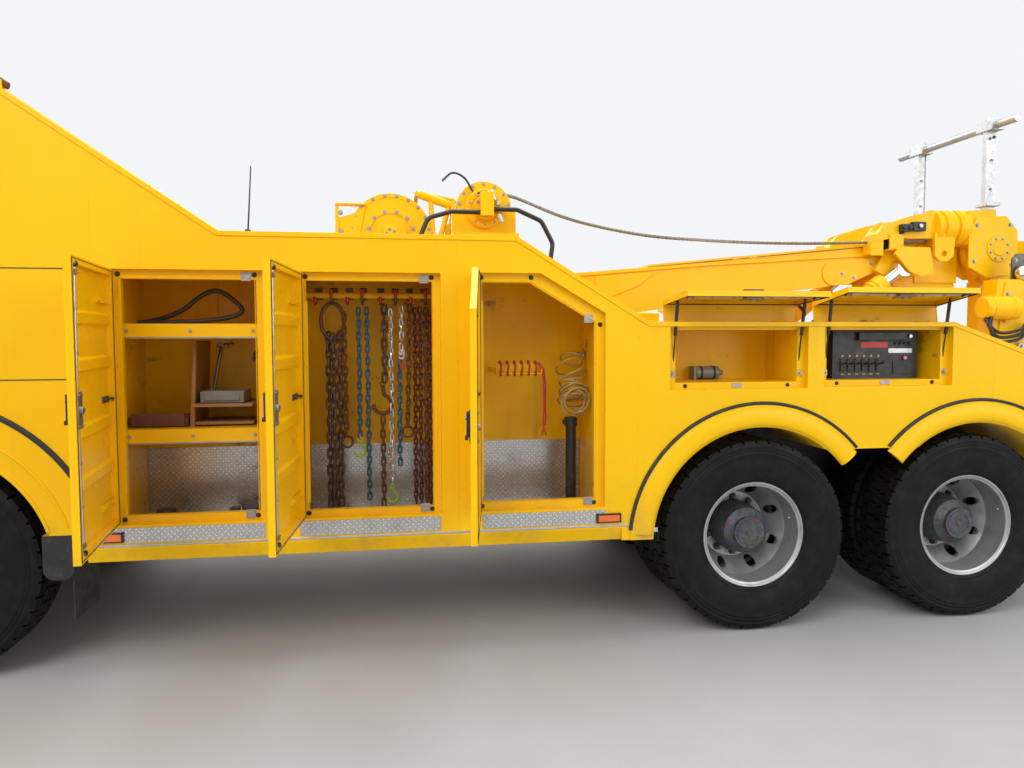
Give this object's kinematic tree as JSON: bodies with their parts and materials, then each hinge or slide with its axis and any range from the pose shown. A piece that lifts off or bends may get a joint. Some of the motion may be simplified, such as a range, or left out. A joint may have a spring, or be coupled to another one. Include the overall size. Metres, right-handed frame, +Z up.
{
  "type": "heavy recovery truck",
  "caption": "Heavy recovery truck with a twin-steer cab-over chassis, open tool lockers, a slanting boom with rope heads, deck winches and a folded underlift at the tail.",
  "frame": {"origin": "on the ground, midway between the front bumper and the underlift, on the centre line", "axes": "+X to the rear, +Y to the right side, +Z up"},
  "size_m": [10.6, 3.9664, 3.86],
  "materials": {
    "yellow_paint": "gloss",
    "frame_paint": "satin",
    "cast_steel": "rough",
    "glass": "gloss",
    "dark_plastic": "matte",
    "lamp_plastic": "gloss",
    "treadplate": "satin",
    "chrome": "gloss",
    "hose_rubber": "matte",
    "air_hose": "gloss",
    "chain_steel": "rough",
    "tyre": "matte",
    "rim_silver": "satin"
  },
  "bodies": {
    "truck": {"chassis_frame": "frame_paint", "cab_shell": "yellow_paint", "windscreen": "glass", "cab_interior": "dark_plastic", "lamps": "lamp_plastic", "mirrors": "dark_plastic", "body_fairing": "yellow_paint", "body_locker_1": "yellow_paint", "body_locker_2": "yellow_paint", "body_locker_3": "yellow_paint", "body_locker_4": "yellow_paint", "body_locker_5": "yellow_paint", "deck": "yellow_paint", "fenders": "yellow_paint", "treadplates": "treadplate", "winches": "yellow_paint", "winch_hoses": "hose_rubber", "locker_chains": "chain_steel", "air_hose_coil": "air_hose", "cable_coil": "hose_rubber"},
    "knuckle_1l": {"knuckle_1l": "cast_steel"},
    "wheel_1l": {"tyre_1l": "tyre", "rim_1l": "rim_silver"},
    "knuckle_1r": {"knuckle_1r": "cast_steel"},
    "wheel_1r": {"tyre_1r": "tyre", "rim_1r": "rim_silver"},
    "knuckle_2l": {"knuckle_2l": "cast_steel"},
    "wheel_2l": {"tyre_2l": "tyre", "rim_2l": "rim_silver"},
    "knuckle_2r": {"knuckle_2r": "cast_steel"},
    "wheel_2r": {"tyre_2r": "tyre", "rim_2r": "rim_silver"},
    "wheels_3l": {"tyres_3l": "tyre", "rims_3l": "rim_silver"},
    "wheels_3r": {"tyres_3r": "tyre", "rims_3r": "rim_silver"},
    "wheels_4l": {"tyres_4l": "tyre", "rims_4l": "rim_silver"},
    "wheels_4r": {"tyres_4r": "tyre", "rims_4r": "rim_silver"},
    "cab_door_l": {"cab_door_l": "yellow_paint", "cab_door_glass_l": "glass"},
    "locker_door_1l": {"locker_door_1l": "yellow_paint"},
    "locker_door_2l": {"locker_door_2l": "yellow_paint"},
    "locker_door_3l": {"locker_door_3l": "yellow_paint"},
    "locker_flap_4l": {"locker_flap_4l": "yellow_paint"},
    "locker_flap_5l": {"locker_flap_5l": "yellow_paint"},
    "cab_door_r": {"cab_door_r": "yellow_paint", "cab_door_glass_r": "glass"},
    "locker_door_1r": {"locker_door_1r": "yellow_paint"},
    "locker_door_2r": {"locker_door_2r": "yellow_paint"},
    "locker_door_3r": {"locker_door_3r": "yellow_paint"},
    "locker_flap_4r": {"locker_flap_4r": "yellow_paint"},
    "locker_flap_5r": {"locker_flap_5r": "yellow_paint"},
    "boom": {"boom": "yellow_paint"},
    "ram_barrels": {"ram_barrels": "yellow_paint"},
    "ram_rods": {"ram_rods": "chrome"},
    "underlift_arm": {"underlift_arm": "yellow_paint"},
    "underlift_slide": {"underlift_slide": "yellow_paint"},
    "underlift_crossbar": {"underlift_crossbar": "yellow_paint"}
  },
  "joints": [
    {"name": "steer_1l", "type": "hinge", "parent": "truck", "child": "knuckle_1l", "pos_m": [-3.916, -0.84, 0.548], "axis": [0, 0, 1], "range_deg": [-35, 35]},
    {"name": "roll_1l", "type": "hinge", "parent": "knuckle_1l", "child": "wheel_1l", "pos_m": [-3.916, -1.066, 0.548], "axis": [0, 1, 0], "continuous": true},
    {"name": "steer_1r", "type": "hinge", "parent": "truck", "child": "knuckle_1r", "pos_m": [-3.916, 0.84, 0.548], "axis": [0, 0, 1], "range_deg": [-35, 35]},
    {"name": "roll_1r", "type": "hinge", "parent": "knuckle_1r", "child": "wheel_1r", "pos_m": [-3.916, 1.066, 0.548], "axis": [0, 1, 0], "continuous": true},
    {"name": "steer_2l", "type": "hinge", "parent": "truck", "child": "knuckle_2l", "pos_m": [-1.976, -0.84, 0.548], "axis": [0, 0, 1], "range_deg": [-22.75, 22.75]},
    {"name": "roll_2l", "type": "hinge", "parent": "knuckle_2l", "child": "wheel_2l", "pos_m": [-1.976, -1.066, 0.548], "axis": [0, 1, 0], "continuous": true},
    {"name": "steer_2r", "type": "hinge", "parent": "truck", "child": "knuckle_2r", "pos_m": [-1.976, 0.84, 0.548], "axis": [0, 0, 1], "range_deg": [-22.75, 22.75]},
    {"name": "roll_2r", "type": "hinge", "parent": "knuckle_2r", "child": "wheel_2r", "pos_m": [-1.976, 1.066, 0.548], "axis": [0, 1, 0], "continuous": true},
    {"name": "roll_3l", "type": "hinge", "parent": "truck", "child": "wheels_3l", "pos_m": [2.3, -1.066, 0.548], "axis": [0, 1, 0], "continuous": true},
    {"name": "roll_3r", "type": "hinge", "parent": "truck", "child": "wheels_3r", "pos_m": [2.3, 1.066, 0.548], "axis": [0, 1, 0], "continuous": true},
    {"name": "roll_4l", "type": "hinge", "parent": "truck", "child": "wheels_4l", "pos_m": [3.65, -1.066, 0.548], "axis": [0, 1, 0], "continuous": true},
    {"name": "roll_4r", "type": "hinge", "parent": "truck", "child": "wheels_4r", "pos_m": [3.65, 1.066, 0.548], "axis": [0, 1, 0], "continuous": true},
    {"name": "cab_door_l_hinge", "type": "hinge", "parent": "truck", "child": "cab_door_l", "pos_m": [-4.95, -1.24, 1.4], "axis": [0, 0, -1], "range_deg": [0, 70]},
    {"name": "locker_door_1l_hinge", "type": "hinge", "parent": "truck", "child": "locker_door_1l", "pos_m": [-1.08, -1.268, 1.3], "axis": [0, 0, -1], "range_deg": [-83.4, 20]},
    {"name": "locker_door_2l_hinge", "type": "hinge", "parent": "truck", "child": "locker_door_2l", "pos_m": [-0.194, -1.268, 1.3], "axis": [0, 0, -1], "range_deg": [-94, 10]},
    {"name": "locker_door_3l_hinge", "type": "hinge", "parent": "truck", "child": "locker_door_3l", "pos_m": [0.7, -1.268, 1.3], "axis": [0, 0, -1], "range_deg": [-98, 8]},
    {"name": "locker_flap_4l_hinge", "type": "hinge", "parent": "truck", "child": "locker_flap_4l", "pos_m": [2.1675, -1.14, 1.753], "axis": [-1, 0, 0], "range_deg": [-95, 5]},
    {"name": "locker_flap_5l_hinge", "type": "hinge", "parent": "truck", "child": "locker_flap_5l", "pos_m": [3.07, -1.14, 1.753], "axis": [-1, 0, 0], "range_deg": [-99.5, 5]},
    {"name": "cab_door_r_hinge", "type": "hinge", "parent": "truck", "child": "cab_door_r", "pos_m": [-4.95, 1.24, 1.4], "axis": [0, 0, 1], "range_deg": [0, 70]},
    {"name": "locker_door_1r_hinge", "type": "hinge", "parent": "truck", "child": "locker_door_1r", "pos_m": [-1.08, 1.268, 1.3], "axis": [0, 0, 1], "range_deg": [-83.4, 20]},
    {"name": "locker_door_2r_hinge", "type": "hinge", "parent": "truck", "child": "locker_door_2r", "pos_m": [-0.194, 1.268, 1.3], "axis": [0, 0, 1], "range_deg": [-94, 10]},
    {"name": "locker_door_3r_hinge", "type": "hinge", "parent": "truck", "child": "locker_door_3r", "pos_m": [0.7, 1.268, 1.3], "axis": [0, 0, 1], "range_deg": [-98, 8]},
    {"name": "locker_flap_4r_hinge", "type": "hinge", "parent": "truck", "child": "locker_flap_4r", "pos_m": [2.1675, 1.14, 1.753], "axis": [1, 0, 0], "range_deg": [-95, 5]},
    {"name": "locker_flap_5r_hinge", "type": "hinge", "parent": "truck", "child": "locker_flap_5r", "pos_m": [3.07, 1.14, 1.753], "axis": [1, 0, 0], "range_deg": [-99.5, 5]},
    {"name": "boom_lift", "type": "hinge", "parent": "truck", "child": "boom", "pos_m": [1.3, 0, 1.9], "axis": [0, -1, 0], "range_deg": [0, 45]},
    {"name": "ram_tilt", "type": "hinge", "parent": "truck", "child": "ram_barrels", "pos_m": [2.55, 0, 1.24], "axis": [0, -1, 0], "range_deg": [0, 46.5]},
    {"name": "ram_stroke", "type": "slide", "parent": "ram_barrels", "child": "ram_rods", "axis": [0.8062, 0, 0.5917], "range_m": [0, 1.085]},
    {"name": "underlift_fold", "type": "hinge", "parent": "truck", "child": "underlift_arm", "pos_m": [4.8, 0, 0.76], "axis": [0, 1, 0], "range_deg": [0, 90]},
    {"name": "underlift_extend", "type": "slide", "parent": "underlift_arm", "child": "underlift_slide", "axis": [0, 0, 1], "range_m": [0, 0.7]},
    {"name": "crossbar_swivel", "type": "hinge", "parent": "underlift_slide", "child": "underlift_crossbar", "pos_m": [5.14, 0, 2.33], "axis": [1, 0, 0], "range_deg": [-20, 20]}
  ],
  "couplings": [
    {"joint": "steer_1r", "follows": "steer_1l", "ratio": 1},
    {"joint": "steer_2l", "follows": "steer_1l", "ratio": 0.65},
    {"joint": "steer_2r", "follows": "steer_1l", "ratio": 0.65},
    {"joint": "ram_tilt", "follows": "boom_lift", "ratio": 1.031},
    {"joint": "ram_stroke", "follows": "boom_lift", "m_per_rad": 1.3757}
  ]
}
